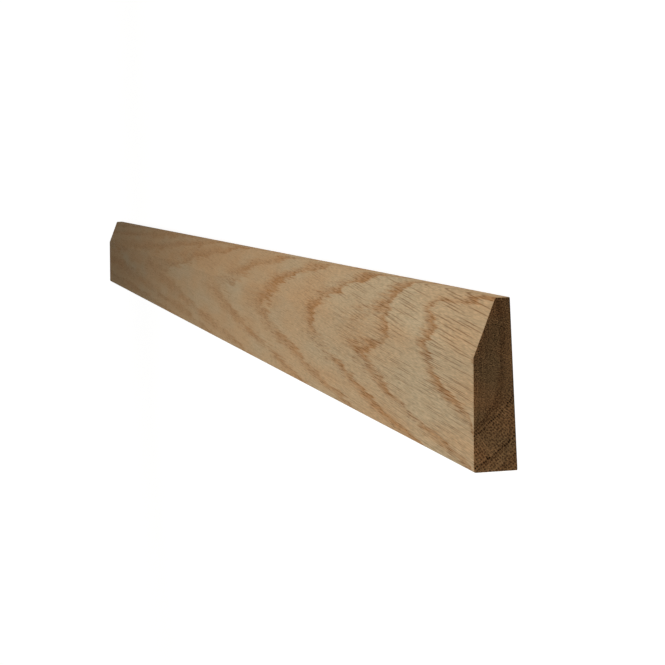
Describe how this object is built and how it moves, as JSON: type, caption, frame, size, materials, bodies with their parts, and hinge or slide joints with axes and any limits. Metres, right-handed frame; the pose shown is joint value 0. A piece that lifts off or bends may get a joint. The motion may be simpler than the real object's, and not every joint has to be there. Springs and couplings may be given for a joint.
{
  "type": "chamfered architrave",
  "caption": "Straight solid oak door architrave with a flat back, a gently tapering face and a broad chamfer down to a thin inner edge.",
  "frame": {"origin": "middle of the flat back: half way along the length, half way across the width, on the back face", "axes": "+X along the length, +Y across the width from the thick outer edge to the thin inner edge, +Z out of the face, so the part lies on its back"},
  "size_m": [2.1, 0.07, 0.018],
  "materials": {
    "oak": "planed and lightly sanded, unfinished"
  },
  "bodies": {
    "root": {"architrave": "oak"}
  },
  "joints": []
}
